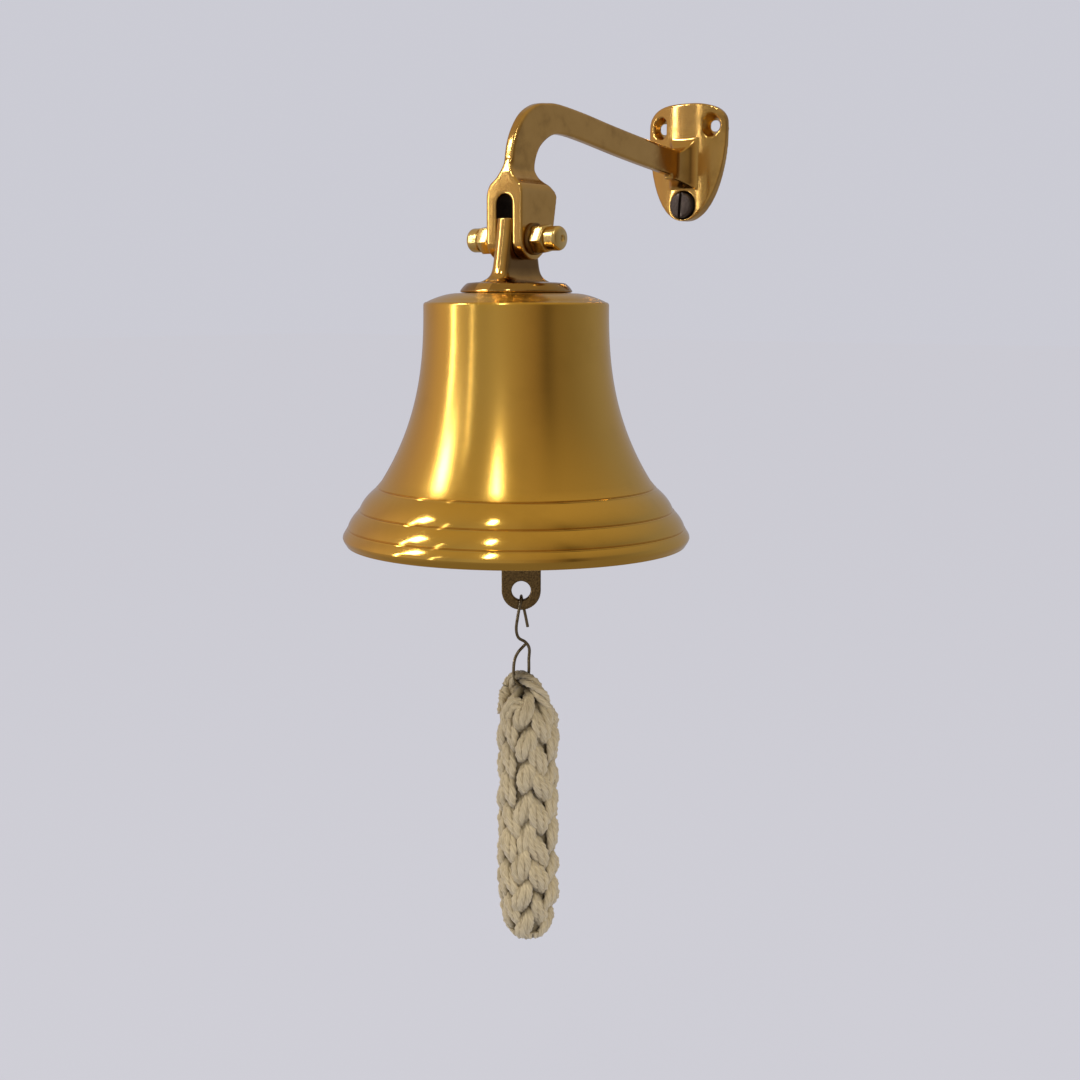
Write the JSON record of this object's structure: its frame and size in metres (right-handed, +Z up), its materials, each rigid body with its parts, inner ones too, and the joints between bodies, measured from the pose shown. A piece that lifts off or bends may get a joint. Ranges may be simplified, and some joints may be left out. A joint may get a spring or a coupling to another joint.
{
  "type": "ship bell",
  "caption": "Wall-hung brass ship bell on a bent bracket arm, with a pivoting crown, clapper, wire hook and plaited rope lanyard.",
  "frame": {"origin": "on the back face of the wall plate, midway between its two upper screw holes", "axes": "+Z up, +Y into the wall, X along the wall; the bell hangs at -Y"},
  "size_m": [0.1786, 0.2553, 0.4509],
  "materials": {
    "polished_brass": "polished casting with darker hollows",
    "brushed_brass": "satin, brushed round the bell, lacquered",
    "light_brass": "bright turned",
    "dark_brass": "tarnished",
    "dark_bronze": "dark patina",
    "browned_steel": "browned",
    "dark_wire": "dull drawn wire",
    "cotton_rope": "plaited natural cotton"
  },
  "bodies": {
    "bracket": {"wall_bracket": "polished_brass", "wall_screw": "browned_steel", "pivot_stud": "light_brass", "washer_left": "dark_brass", "washer_right": "dark_brass", "dome_nut_left": "light_brass", "dome_nut_right": "light_brass"},
    "bell": {"bell_shell": "brushed_brass", "crown_hanger": "polished_brass", "eye_bolt": "dark_brass", "crown_washer": "dark_brass", "crown_nut": "light_brass"},
    "clapper": {"clapper": "dark_bronze"},
    "hook": {"s_hook": "dark_wire"},
    "lanyard": {"lanyard": "cotton_rope"}
  },
  "joints": [
    {"name": "bell_swing", "type": "hinge", "parent": "bracket", "child": "bell", "pos_m": [0, -0.166, -0.069], "axis": [1, 0, 0], "range_deg": [-70, 40]},
    {"name": "clapper_swing", "type": "hinge", "parent": "bell", "child": "clapper", "pos_m": [0, -0.166, -0.128], "axis": [-0.6157, 0.788, 0], "range_deg": [-32, 32]},
    {"name": "hook_swing", "type": "hinge", "parent": "clapper", "child": "hook", "pos_m": [0.00197, -0.16446, -0.2484], "axis": [-0.6157, 0.788, 0], "range_deg": [-45, 45]},
    {"name": "lanyard_swing", "type": "hinge", "parent": "hook", "child": "lanyard", "pos_m": [0.00197, -0.16446, -0.3001], "axis": [0.788, 0.6157, 0], "range_deg": [-45, 45]}
  ]
}
